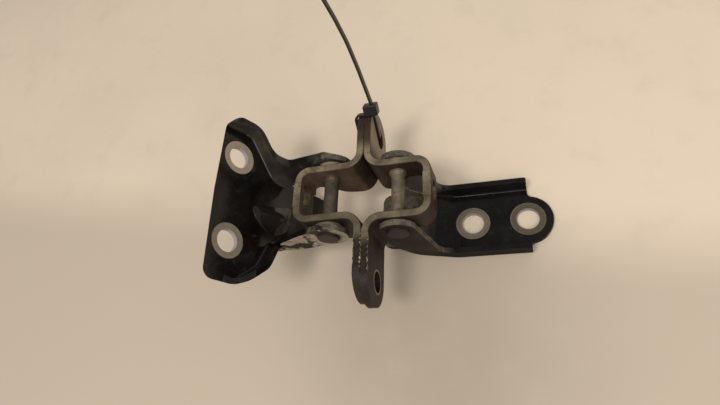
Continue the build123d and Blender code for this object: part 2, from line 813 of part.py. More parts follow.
os.makedirs("parts", exist_ok=True)
for piece in (
    left_bracket,
    right_bracket,
    left_pin,
    right_pin,
    left_washer,
    right_washer,
    left_upper_bush,
    left_lower_bush,
    right_upper_bush,
    right_lower_bush,
    left_leaf,
    right_leaf,
    tie_loop,
    tie_head,
    tie_tail,
):
    export_step(piece.part, "parts/" + piece.part.label + ".step")
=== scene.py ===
"""Pair of vehicle door hinges, tied foot to foot, on a pale table."""

import json
import math

import bmesh
import bpy
from mathutils import Matrix, Vector


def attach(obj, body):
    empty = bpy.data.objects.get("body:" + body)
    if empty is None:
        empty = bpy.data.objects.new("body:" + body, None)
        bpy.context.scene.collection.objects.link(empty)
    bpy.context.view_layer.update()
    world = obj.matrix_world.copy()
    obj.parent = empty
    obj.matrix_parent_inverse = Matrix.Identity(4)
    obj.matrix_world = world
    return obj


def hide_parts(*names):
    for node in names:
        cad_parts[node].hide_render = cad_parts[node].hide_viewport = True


bl_info = {
    "name": "Door Hinge Pair",
    "version": (1, 0, 0),
    "blender": (4, 5, 0),
    "location": "View3D > Sidebar > Hinge Pair",
    "description": "Finishes and stages a pair of pressed steel door hinges",
    "category": "Object",
}

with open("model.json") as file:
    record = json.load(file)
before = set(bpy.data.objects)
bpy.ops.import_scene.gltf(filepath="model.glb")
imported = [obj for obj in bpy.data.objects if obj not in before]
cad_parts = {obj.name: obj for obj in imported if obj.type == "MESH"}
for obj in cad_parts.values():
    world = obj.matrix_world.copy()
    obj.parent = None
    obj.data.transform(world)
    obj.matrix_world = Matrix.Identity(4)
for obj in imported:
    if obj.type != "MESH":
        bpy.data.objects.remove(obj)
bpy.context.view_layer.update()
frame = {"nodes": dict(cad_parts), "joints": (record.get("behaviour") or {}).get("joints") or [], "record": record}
nodes = frame["nodes"]
joints = {joint["name"]: joint for joint in frame["joints"]}
left_axis = Vector(joints["left_hinge"]["pos_m"])
right_axis = Vector(joints["right_hinge"]["pos_m"])
mounts = {mount["name"]: mount for mount in frame["record"]["mounts"]}

# where the feet meet, the middle of each loop, and the lower hole, in metres
contact_x = mounts["foot_bolt"]["pos_m"][0]
hole_centre = tuple(mounts["foot_bolt"]["pos_m"])
pin_z = right_axis.z
loop_y = {-1: left_axis.y, 1: right_axis.y}

# how the CAD meshes are joined and their edges rounded
weld_gap = 0.000002
bevel_angle = math.radians(40)
bevel_segments = 2
normal_weight = 50
strap_bevel = 0.0003
leaf_bevel = 0.0004
tie_bevel = 0.00025

# the plain dome is pressed a little under the plate's top face
dome_margin = 0.0002
dome_crown_margin = 0.0005
outer_skin_share = 0.6
outer_press = 0.98
inner_press = 0.5

# the hump's two slopes, each as a height at its middle and a change along and up the plate
hump_front = (0.0043, -0.1846, 0.2738)
hump_upper = (0.0011, -0.1845, -0.649)
hump_nose_slope = 0.68
hump_ridge_blend = 0.0022
hump_nose_blend = 0.0018
hump_cells = 72
hump_spread = 1.25
hump_sink = 0.0006
hump_shell = 0.0004

# the folded corner seen along the pin, in millimetres from the right pin
cheek_profile = (
    (-7.6, -20),
    (-7.4, -30),
    (-6.6, -36.2),
    (2.5, -40),
    (9, -43),
    (8, -38),
    (0, -30),
    (-5, -21),
)

# zones of a bracket along the pin, measured from its loop's middle
lower_foot = (-0.030, -0.021)
upper_foot = (0.020, 0.030)
loop_inside = (0.0125, 0.0135)
# loop_shadow is where the painted shade on the loops' edges fades in
loop_shadow = (0.004, -0.012)
glint_tips = (-0.0425, -0.0395)
hole_rub = (0.0054, 0.0063)

# darker finishes that no setting changes
grime_color = (0.036, 0.028, 0.022)
scratch_color = (0.075, 0.062, 0.050)
pin_head_color = (0.021, 0.0155, 0.012)

# a washer mark shows only on what lies above this depth under its place; on the right
# leaf that place is inside the sheet
right_mark_z = 0.0014
mark_depth = 0.0004
bore_margin = 0.00012

# the table, the lamps and the camera
table_half_width = 2.5
lamp_color = (1.0, 0.97, 0.93)
lamp_target = (-0.05, 0.0, 0.03)
sky_color = (0.96, 0.93, 0.89, 1)
camera_place = (0.0609, -0.115614, 0.236274)
camera_turns = (("Y", 0.33102), ("X", 0.42558), ("Z", 0.03650))
sensor_width = 36.0


# Properties


class HingeSteelSettings(bpy.types.PropertyGroup):
    loop_edge_color: bpy.props.FloatVectorProperty(
        name="Loop Edge Color",
        description="Olive grey of the sheared edges round the two loops",
        subtype="COLOR",
        size=3,
        min=0.0,
        max=1.0,
        default=(0.168, 0.134, 0.084),
    )
    # painted shade: the lower feet's edges, dark in finish, are painted darker still
    shaded_foot_edge_color: bpy.props.FloatVectorProperty(
        name="Foot Edge Color",
        description="Dark oiled edges of the lower feet",
        subtype="COLOR",
        size=3,
        min=0.0,
        max=1.0,
        default=(0.019, 0.0140, 0.0105),
    )
    upper_edge_color: bpy.props.FloatVectorProperty(
        name="Upper Edge Color",
        description="Brown grey edges of the upper feet",
        subtype="COLOR",
        size=3,
        min=0.0,
        max=1.0,
        default=(0.035, 0.025, 0.017),
    )
    face_color: bpy.props.FloatVectorProperty(
        name="Face Color",
        description="Worn dark phosphate on the strap faces",
        subtype="COLOR",
        size=3,
        min=0.0,
        max=1.0,
        default=(0.026, 0.018, 0.013),
    )
    inner_color: bpy.props.FloatVectorProperty(
        name="Inner Color",
        description="Brown bloom inside the loops",
        subtype="COLOR",
        size=3,
        min=0.0,
        max=1.0,
        default=(0.070, 0.043, 0.030),
    )
    # painted reflection: the upper right foot's faces turned to +X are paler, as if lit and mirroring the table
    lit_face_color: bpy.props.FloatVectorProperty(
        name="Pale Color",
        description="Rubbed outer face of the upper right foot",
        subtype="COLOR",
        size=3,
        min=0.0,
        max=1.0,
        default=(0.235, 0.185, 0.130),
    )
    rust_color: bpy.props.FloatVectorProperty(
        name="Rust Color",
        description="Thin orange rust bloom",
        subtype="COLOR",
        size=3,
        min=0.0,
        max=1.0,
        default=(0.125, 0.050, 0.020),
    )
    pin_color: bpy.props.FloatVectorProperty(
        name="Pin Color",
        description="Dull plated steel of the hinge pins",
        subtype="COLOR",
        size=3,
        min=0.0,
        max=1.0,
        default=(0.165, 0.130, 0.085),
    )
    washer_color: bpy.props.FloatVectorProperty(
        name="Washer Color",
        description="Rubbed steel of the washers and rivet heads",
        subtype="COLOR",
        size=3,
        min=0.0,
        max=1.0,
        default=(0.26, 0.205, 0.140),
    )


class HingeCoatSettings(bpy.types.PropertyGroup):
    coat_color: bpy.props.FloatVectorProperty(
        name="Coat Color",
        description="Glossy black coat on both leaves",
        subtype="COLOR",
        size=3,
        min=0.0,
        max=1.0,
        default=(0.0050, 0.0042, 0.0038),
    )
    matte_color: bpy.props.FloatVectorProperty(
        name="Matte Color",
        description="Flat brown black where the ears kept no gloss",
        subtype="COLOR",
        size=3,
        min=0.0,
        max=1.0,
        default=(0.026, 0.019, 0.0145),
    )
    bare_color: bpy.props.FloatVectorProperty(
        name="Bare Color",
        description="Rubbed metal on rims and peeled patches",
        subtype="COLOR",
        size=3,
        min=0.0,
        max=1.0,
        default=(0.150, 0.122, 0.092),
    )
    ring_color: bpy.props.FloatVectorProperty(
        name="Ring Color",
        description="Bare metal left by the bolt washers",
        subtype="COLOR",
        size=3,
        min=0.0,
        max=1.0,
        default=(0.150, 0.122, 0.088),
    )
    # bare bore walls, their bright violet tone a painted reflection
    bore_and_reflection_color: bpy.props.FloatVectorProperty(
        name="Bore Color",
        description="Bright walls of the bolt holes",
        subtype="COLOR",
        size=3,
        min=0.0,
        max=1.0,
        default=(0.34, 0.31, 0.33),
    )
    coat_roughness: bpy.props.FloatProperty(
        name="Coat Roughness",
        description="Roughness of the black coat",
        min=0.0,
        max=1.0,
        default=0.13,
    )
    coat_gloss: bpy.props.FloatProperty(
        name="Coat Gloss",
        description="Specular level of the black coat",
        min=0.0,
        max=1.0,
        default=0.16,
    )
    ring_radius: bpy.props.FloatProperty(
        name="Ring Radius",
        description="Outer radius of a washer mark",
        subtype="DISTANCE",
        unit="LENGTH",
        min=0.0001,
        default=0.0095,
    )
    hole_radius: bpy.props.FloatProperty(
        name="Hole Radius",
        description="Radius of a bolt hole in a leaf",
        subtype="DISTANCE",
        unit="LENGTH",
        min=0.0001,
        default=0.006,
    )
    # painted reflection: the brown tone on the upper flange's walls and over the dome
    reflection_tone_color: bpy.props.FloatVectorProperty(
        name="Haze Color",
        description="Brown film in the upper flange and on the dome",
        subtype="COLOR",
        size=3,
        min=0.0,
        max=1.0,
        default=(0.044, 0.034, 0.025),
    )
    cheek_start: bpy.props.FloatProperty(
        name="Cheek Start",
        description="Where the folded corner starts beside the tab",
        subtype="DISTANCE",
        unit="LENGTH",
        default=0.0159,
    )
    cheek_width: bpy.props.FloatProperty(
        name="Cheek Width",
        description="Width of the folded corner along the pin",
        subtype="DISTANCE",
        unit="LENGTH",
        default=0.0046,
    )
    sheet: bpy.props.FloatProperty(
        name="Sheet",
        description="Thickness of the left leaf's sheet",
        subtype="DISTANCE",
        unit="LENGTH",
        default=0.003,
    )
    dome_reach: bpy.props.FloatProperty(
        name="Dome Reach",
        description="Distance of the dome from the left pin along the plate",
        subtype="DISTANCE",
        unit="LENGTH",
        default=0.0075,
    )
    dome_shift: bpy.props.FloatProperty(
        name="Dome Shift",
        description="Distance of the dome above the left pin's middle",
        subtype="DISTANCE",
        unit="LENGTH",
        default=0.001,
    )
    dome_drop: bpy.props.FloatProperty(
        name="Dome Drop",
        description="Distance of the plate's top face from the left pin",
        subtype="DISTANCE",
        unit="LENGTH",
        default=0.0389,
    )
    dome_radius: bpy.props.FloatProperty(
        name="Dome Radius",
        description="Radius of the dome at its foot",
        subtype="DISTANCE",
        unit="LENGTH",
        default=0.0138,
    )
    dome_top_radius: bpy.props.FloatProperty(
        name="Dome Top Radius",
        description="Radius of the dome's flat top",
        subtype="DISTANCE",
        unit="LENGTH",
        default=0.0086,
    )
    dome_height: bpy.props.FloatProperty(
        name="Dome Height",
        description="Height of the dome's top in the plain pressing",
        subtype="DISTANCE",
        unit="LENGTH",
        default=0.0045,
    )


class HingeTieSettings(bpy.types.PropertyGroup):
    nylon_color: bpy.props.FloatVectorProperty(
        name="Nylon Color",
        description="Black nylon of the cable tie",
        subtype="COLOR",
        size=3,
        min=0.0,
        max=1.0,
        default=(0.0062, 0.0058, 0.0060),
    )


class HingeStageSettings(bpy.types.PropertyGroup):
    table_color: bpy.props.FloatVectorProperty(
        name="Table Color",
        description="Warm pale table top",
        subtype="COLOR",
        size=3,
        min=0.0,
        max=1.0,
        default=(0.735, 0.615, 0.478),
    )
    # painted shadow: the table's colour beyond a soft line towards the near edge
    shade_color: bpy.props.FloatVectorProperty(
        name="Shade Color",
        description="Table colour towards the near edge",
        subtype="COLOR",
        size=3,
        min=0.0,
        max=1.0,
        default=(0.555, 0.462, 0.358),
    )
    # middle of the painted shade spot on the table
    shade_place: bpy.props.FloatVectorProperty(
        name="Shade Place",
        description="Middle of the soft shade in front of the hinges",
        subtype="TRANSLATION",
        unit="LENGTH",
        size=3,
        default=(-0.035, -0.072, 0.0),
    )
    lamp_power: bpy.props.FloatProperty(
        name="Lamp Power",
        description="Power of the small lamp that draws the glints",
        subtype="POWER",
        unit="POWER",
        min=0.0,
        default=4.85,
    )
    sky_strength: bpy.props.FloatProperty(
        name="Sky Strength",
        description="Strength of the even light from all round",
        min=0.0,
        default=0.5,
    )
    lens: bpy.props.FloatProperty(
        name="Lens",
        description="Focal length of the camera in millimetres",
        min=1.0,
        default=26.458,
    )


# Node helpers


class Shader:
    """A small builder for node materials."""

    def __init__(self, name):
        self.material = bpy.data.materials.new(name)
        self.material.use_nodes = True
        self.tree = self.material.node_tree
        self.tree.nodes.clear()
        self.output = self.add("ShaderNodeOutputMaterial")
        self.coords = self.add("ShaderNodeTexCoord")

    def add(self, kind, **values):
        node = self.tree.nodes.new(kind)
        node.location = (len(self.tree.nodes) * 60, -len(self.tree.nodes) * 30)
        for key, value in values.items():
            setattr(node, key, value)
        return node

    def wire(self, source, target):
        self.tree.links.new(source, target)

    def put(self, socket, value):
        if isinstance(value, bpy.types.NodeSocket):
            self.wire(value, socket)
        else:
            socket.default_value = value

    def math(self, operation, first, second=0.0, clamp=False):
        node = self.add("ShaderNodeMath", operation=operation, use_clamp=clamp)
        for socket, value in zip(node.inputs, (first, second)):
            self.put(socket, value)
        return node.outputs[0]

    def mix(self, factor, first, second):
        node = self.add("ShaderNodeMix", data_type="RGBA")
        self.put(node.inputs[0], factor)
        self.put(node.inputs[6], self.rgba(first))
        self.put(node.inputs[7], self.rgba(second))
        return node.outputs[2]

    def rgba(self, value):
        if isinstance(value, bpy.types.NodeSocket):
            return value
        return (value[0], value[1], value[2], 1.0)

    def place(self, offset=(0, 0, 0), scale=(1, 1, 1), turn=(0, 0, 0)):
        node = self.add("ShaderNodeMapping", vector_type="POINT")
        node.inputs["Location"].default_value = offset
        node.inputs["Rotation"].default_value = turn
        node.inputs["Scale"].default_value = scale
        self.wire(self.coords.outputs["Object"], node.inputs["Vector"])
        return node.outputs[0]

    def noise(self, scale, detail=4.0, rough=0.5, vector=None):
        node = self.add("ShaderNodeTexNoise")
        node.inputs["Scale"].default_value = scale
        node.inputs["Detail"].default_value = detail
        node.inputs["Roughness"].default_value = rough
        self.wire(vector or self.coords.outputs["Object"], node.inputs["Vector"])
        return node.outputs["Fac"]

    def ramp(self, value, low, high):
        node = self.add("ShaderNodeMapRange", interpolation_type="SMOOTHSTEP")
        self.put(node.inputs["Value"], value)
        node.inputs["From Min"].default_value = low
        node.inputs["From Max"].default_value = high
        return node.outputs["Result"]

    def between(self, value, low, high, blur):
        """One from low to high, with soft ends."""
        rise = self.ramp(value, low - blur, low + blur)
        fall = self.ramp(value, high - blur, high + blur)
        return self.math("SUBTRACT", rise, fall, clamp=True)

    def both(self, first, second):
        return self.math("MULTIPLY", first, second)

    def inverse(self, value):
        return self.math("SUBTRACT", 1.0, value, clamp=True)

    def spread(self, color, low, high, amount):
        """A colour that wanders between two multiples of itself."""
        return self.mix(amount, tint(color, low), tint(color, high))

    def radius(self, place, axis):
        """Distance from an axis, and the height along it."""
        offset = self.add("ShaderNodeVectorMath", operation="SUBTRACT")
        self.wire(self.coords.outputs["Object"], offset.inputs[0])
        offset.inputs[1].default_value = place
        along = self.add("ShaderNodeVectorMath", operation="DOT_PRODUCT")
        self.wire(offset.outputs[0], along.inputs[0])
        along.inputs[1].default_value = axis
        length = self.add("ShaderNodeVectorMath", operation="LENGTH")
        self.wire(offset.outputs[0], length.inputs[0])
        square = self.math("MULTIPLY", length.outputs["Value"], length.outputs["Value"])
        fall = self.math("MULTIPLY", along.outputs["Value"], along.outputs["Value"])
        gap = self.math("MAXIMUM", self.math("SUBTRACT", square, fall), 0.0)
        return self.math("SQRT", gap), along.outputs["Value"]

    def split(self, vector):
        node = self.add("ShaderNodeSeparateXYZ")
        self.wire(vector, node.inputs[0])
        return node.outputs

    def combine(self, first, second):
        node = self.add("ShaderNodeCombineXYZ")
        self.put(node.inputs[0], first)
        self.put(node.inputs[1], second)
        return node.outputs[0]

    def bump(self, height, strength, distance, normal=None):
        node = self.add("ShaderNodeBump")
        node.inputs["Strength"].default_value = strength
        node.inputs["Distance"].default_value = distance
        self.wire(height, node.inputs["Height"])
        if normal:
            self.wire(normal, node.inputs["Normal"])
        return node.outputs[0]

    def surface(self, color, roughness, metallic=0.0, normal=None, **fixed):
        node = self.add("ShaderNodeBsdfPrincipled")
        self.put(node.inputs["Base Color"], self.rgba(color))
        self.put(node.inputs["Roughness"], roughness)
        self.put(node.inputs["Metallic"], metallic)
        if normal:
            self.wire(normal, node.inputs["Normal"])
        for key, value in fixed.items():
            node.inputs[key.replace("_", " ")].default_value = value
        self.wire(node.outputs[0], self.output.inputs["Surface"])
        return self.material


def tint(color, amount):
    return [min(1.0, channel * amount) for channel in color]


def dress(piece, *materials):
    piece.data.materials.clear()
    for material in materials:
        piece.data.materials.append(material)


def soften(piece, width, rim=-1):
    """Welds a CAD node's loose triangles and rounds its sharp edges."""
    weld = piece.modifiers.new("Weld", "WELD")
    weld.merge_threshold = weld_gap
    bevel = piece.modifiers.new("Edge", "BEVEL")
    bevel.width = width
    bevel.segments = bevel_segments
    bevel.material = rim
    bevel.limit_method = "ANGLE"
    bevel.angle_limit = bevel_angle
    bevel.harden_normals = False
    smooth = piece.modifiers.new("Normals", "WEIGHTED_NORMAL")
    smooth.keep_sharp = False
    smooth.weight = normal_weight


def merged_copy(node, name):
    """A copy of a CAD node's mesh with its loose triangles joined."""
    mesh = nodes[node].data.copy()
    mesh.name = name
    form = bmesh.new()
    form.from_mesh(mesh)
    bmesh.ops.remove_doubles(form, verts=form.verts, dist=weld_gap)
    return mesh, form


def dome_foot(settings, rise):
    """The point level with the left pin over the middle of the dome."""
    climb = rise.cross(Vector((0, 1, 0)))
    return left_axis + climb * settings.dome_reach + Vector((0, settings.dome_shift, 0))


def press_dome(form, rise, settings):
    """Presses the plain dome flat under the hump, and its hollow half way."""
    foot = dome_foot(settings, rise)
    flank = settings.dome_radius - settings.dome_top_radius
    for vert in form.verts:
        place = vert.co - foot
        level = place.dot(rise) + settings.dome_drop
        out = (place - rise * place.dot(rise)).length
        if out > settings.dome_radius + dome_margin:
            continue
        if not -settings.sheet < level < settings.dome_height + dome_crown_margin:
            continue
        crown = settings.dome_height * min(1.0, (settings.dome_radius - out) / flank)
        if level > crown - settings.sheet * outer_skin_share:
            vert.co -= rise * level * outer_press
        else:
            vert.co -= rise * (level + settings.sheet) * inner_press


def soft_least(first, second, blend):
    """The smaller of two heights, rounded where they cross."""
    share = max(blend - abs(first - second), 0.0) / blend
    return min(first, second) - share * share * blend / 4


def slope_height(slope, along, up):
    """Height of one of the hump's flat slopes."""
    return slope[0] + slope[1] * along + slope[2] * up


def new_piece(context, name, form):
    """Turns a bmesh into an object at the origin."""
    mesh = bpy.data.meshes.new(name)
    form.to_mesh(mesh)
    form.free()
    piece = bpy.data.objects.new(name, mesh)
    context.scene.collection.objects.link(piece)
    return piece


def left_hump(context, rise, settings):
    """The pressed hump: a long front slope, a steep upper side and a round nose."""
    foot = dome_foot(settings, rise)
    climb = rise.cross(Vector((0, 1, 0)))
    turn = Matrix((climb, (0, 1, 0), rise)).transposed().to_4x4()
    level = Matrix.Translation(foot - rise * settings.dome_drop) @ turn
    form = bmesh.new()
    bmesh.ops.create_grid(
        form,
        x_segments=hump_cells,
        y_segments=hump_cells,
        size=settings.dome_radius * hump_spread,
    )
    low = []
    for vert in form.verts:
        along, up = vert.co.x, vert.co.y
        front = slope_height(hump_front, along, up)
        upper = slope_height(hump_upper, along, up)
        nose = (settings.dome_radius - math.hypot(along, up)) * hump_nose_slope
        height = soft_least(soft_least(front, upper, hump_ridge_blend), nose, hump_nose_blend)
        vert.co.z = max(height, -hump_sink)
        if height < -hump_sink:
            low.append(vert)
    bmesh.ops.delete(form, geom=low, context="VERTS")
    bmesh.ops.transform(form, matrix=level, verts=form.verts)
    for face in form.faces:
        face.smooth = True
    hump = new_piece(context, "left_hump", form)
    shell = hump.modifiers.new("Shell", "SOLIDIFY")
    shell.thickness = hump_shell
    shell.offset = -1.0
    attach(hump, "left_side")
    return hump


def right_cheek(context, settings):
    """The folded corner that closes the right leaf's upper ear on its tab."""
    form = bmesh.new()
    verts = []
    for x, z in cheek_profile:
        corner = Vector((x / 1000, settings.cheek_start, z / 1000))
        verts.append(form.verts.new(right_axis + corner))
    face = form.faces.new(verts)
    walls = bmesh.ops.extrude_face_region(form, geom=[face])["geom"]
    moved = [item for item in walls if isinstance(item, bmesh.types.BMVert)]
    bmesh.ops.translate(form, verts=moved, vec=(0, settings.cheek_width, 0))
    bmesh.ops.recalc_face_normals(form, faces=form.faces)
    cheek = new_piece(context, "right_cheek", form)
    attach(cheek, "right_side")
    return cheek


# Finishes


def strap_steel_material(name, settings, side):
    """Dark phosphated strap: olive sheared edges, brown insides, painted glints on the worn corners, painted shade
    on the lower loop edges and lower feet, and a painted reflection on the upper right foot.
    """
    shader = Shader(name)
    x, y, z = shader.split(shader.place(offset=(-contact_x, -loop_y[side], -pin_z)))
    nx, _, nz = shader.split(shader.coords.outputs["Normal"])
    cloud = shader.noise(90.0, 5.0, 0.6)
    broad = shader.noise(35.0, 3.0, 0.5, shader.place(offset=(0.4, 0.2, 0.1)))
    fine = shader.noise(800.0, 4.0, 0.65)
    grit = shader.noise(2200.0, 2.0, 0.5)

    low = shader.inverse(shader.ramp(y, *lower_foot))
    high = shader.ramp(y, *upper_foot)
    edge = shader.ramp(shader.math("ABSOLUTE", nz), 0.75, 0.93)

    loop_rim = shader.spread(settings.loop_edge_color, 0.5, 1.4, shader.ramp(cloud, 0.32, 0.68))
    smear = shader.both(shader.ramp(shader.noise(260.0, 5.0, 0.6), 0.52, 0.66), 0.5)
    loop_rim = shader.mix(smear, loop_rim, tint(settings.loop_edge_color, 0.42))
    # painted shade: the loops' edges turn darker towards the lower feet, more on the left bracket
    shadow = shader.both(shader.ramp(y, *loop_shadow), 0.6 if side < 0 else 0.25)
    loop_rim = shader.mix(shadow, loop_rim, tint(settings.loop_edge_color, 0.35))
    # painted shade: the lower feet's edges darker than their finish alone
    grey = shader.spread(settings.shaded_foot_edge_color, 0.7, 1.7, shader.ramp(fine, 0.35, 0.7))
    upper = shader.spread(settings.upper_edge_color, 0.7, 1.5, shader.ramp(cloud, 0.3, 0.7))
    if side > 0:
        upper = shader.mix(shader.ramp(fine, 0.4, 0.7), upper, tint(settings.rust_color, 0.55))
    rim = shader.mix(low, shader.mix(high, loop_rim, upper), grey)
    stain = shader.both(shader.ramp(broad, 0.5, 0.62), shader.ramp(fine, 0.42, 0.62))
    rim = shader.mix(shader.both(stain, 0.45), rim, settings.face_color)

    face = shader.spread(settings.face_color, 0.75, 1.7, shader.ramp(cloud, 0.32, 0.72))
    reach = shader.math("ABSOLUTE", y)
    inside = shader.inverse(shader.ramp(reach, *loop_inside))
    bloom = tint(settings.inner_color, 1.15 if side < 0 else 0.5)
    bloom = shader.spread(bloom, 0.55, 1.35, shader.ramp(cloud, 0.3, 0.7))
    face = shader.mix(inside, face, bloom)
    patches = shader.noise(140.0, 6.0, 0.65, shader.place((0.3, 0.1, 0.0)))
    rust = shader.both(shader.ramp(patches, 0.54, 0.7), 0.6)
    face = shader.mix(shader.both(rust, inside), face, settings.rust_color)
    # painted reflection: faces of the upper right foot turned to +X are paler, standing in for light and the table
    # mirrored in them
    if side > 0:
        pale = shader.both(high, shader.ramp(nx, 0.5, 0.9))
        rubbed = shader.spread(settings.lit_face_color, 0.75, 1.2, shader.ramp(broad, 0.3, 0.7))
        face = shader.mix(pale, face, rubbed)

    # a rubbed pale ring round each lower hole
    radius, _ = shader.radius(hole_centre, (1, 0, 0))
    ring = shader.between(radius, *hole_rub, 0.00012)
    ring = shader.both(ring, shader.ramp(shader.math("ABSOLUTE", nx), 0.6, 0.9))
    face = shader.mix(shader.both(ring, 0.9), face, tint(settings.loop_edge_color, 1.5))

    # painted glints: bright specks along the lower feet's worn corners, far lighter than the edge colour and
    # partly metallic
    across = shader.math("ABSOLUTE", x)
    outer = shader.between(across, 0.0035, 0.0041, 0.00006)
    inner = shader.between(across, -0.001, 0.00035, 0.00006)
    corner = shader.both(shader.math("MAXIMUM", outer, inner), shader.ramp(z, 0.0079, 0.0084))
    worn = shader.both(shader.both(low, corner), shader.ramp(fine, 0.5, 0.56))
    worn = shader.both(worn, shader.ramp(y, *glint_tips))
    color = shader.mix(edge, face, rim)
    color = shader.mix(worn, color, tint(settings.loop_edge_color, 4.2))

    rough = shader.math("ADD", shader.both(cloud, 0.22), 0.38)
    dry_edge = shader.both(edge, shader.inverse(low))
    rough = shader.math("MAXIMUM", rough, shader.both(dry_edge, 0.6))
    rough = shader.math("SUBTRACT", rough, shader.both(worn, 0.2))
    normal = shader.bump(grit, 0.18, 0.00008)
    normal = shader.bump(fine, 0.35, 0.00016, normal)
    normal = shader.bump(cloud, 0.35, 0.0007, normal)
    return shader.surface(color, rough, shader.both(worn, 0.6), normal, Specular_IOR_Level=0.14)


def pin_steel_material(name, color, collar, settings):
    """Dull plated pin, pitted, with an orange bloom on the collar."""
    shader = Shader(name)
    cloud = shader.noise(150.0, 5.0, 0.6)
    streak = shader.noise(420.0, 4.0, 0.6, shader.place(scale=(1.0, 0.22, 1.0)))
    pits = shader.ramp(shader.noise(620.0, 2.0, 0.5), 0.63, 0.68)
    tone = shader.spread(color, 0.6, 1.2, shader.ramp(cloud, 0.3, 0.72))
    tone = shader.mix(shader.both(shader.ramp(streak, 0.5, 0.75), 0.4), tone, tint(color, 0.45))
    tone = shader.mix(shader.both(pits, 0.8), tone, tint(color, 0.2))
    along = shader.split(shader.coords.outputs["Object"])[1]
    head = shader.ramp(along, right_axis.y - 0.016, right_axis.y - 0.0168)
    tone = shader.mix(head, tone, pin_head_color)
    band = shader.ramp(along, collar - 0.0032, collar - 0.0012)
    bloom = shader.both(band, shader.ramp(cloud, 0.3, 0.6))
    tone = shader.mix(shader.both(bloom, 0.6), tone, settings.rust_color)
    normal = shader.bump(pits, 0.5, -0.0002)
    normal = shader.bump(cloud, 0.25, 0.0004, normal)
    rough = shader.math("ADD", shader.both(cloud, 0.2), 0.42)
    return shader.surface(tone, rough, 0.2, normal, Specular_IOR_Level=0.4)


def washer_material(settings):
    """Rubbed washers, bushes and rivet heads, mottled and faintly bumped."""
    shader = Shader("washer_steel")
    cloud = shader.noise(190.0, 5.0, 0.6)
    tone = shader.spread(settings.washer_color, 0.45, 1.15, shader.ramp(cloud, 0.28, 0.66))
    normal = shader.bump(cloud, 0.3, 0.0003)
    return shader.surface(tone, 0.5, 0.25, normal, Specular_IOR_Level=0.4)


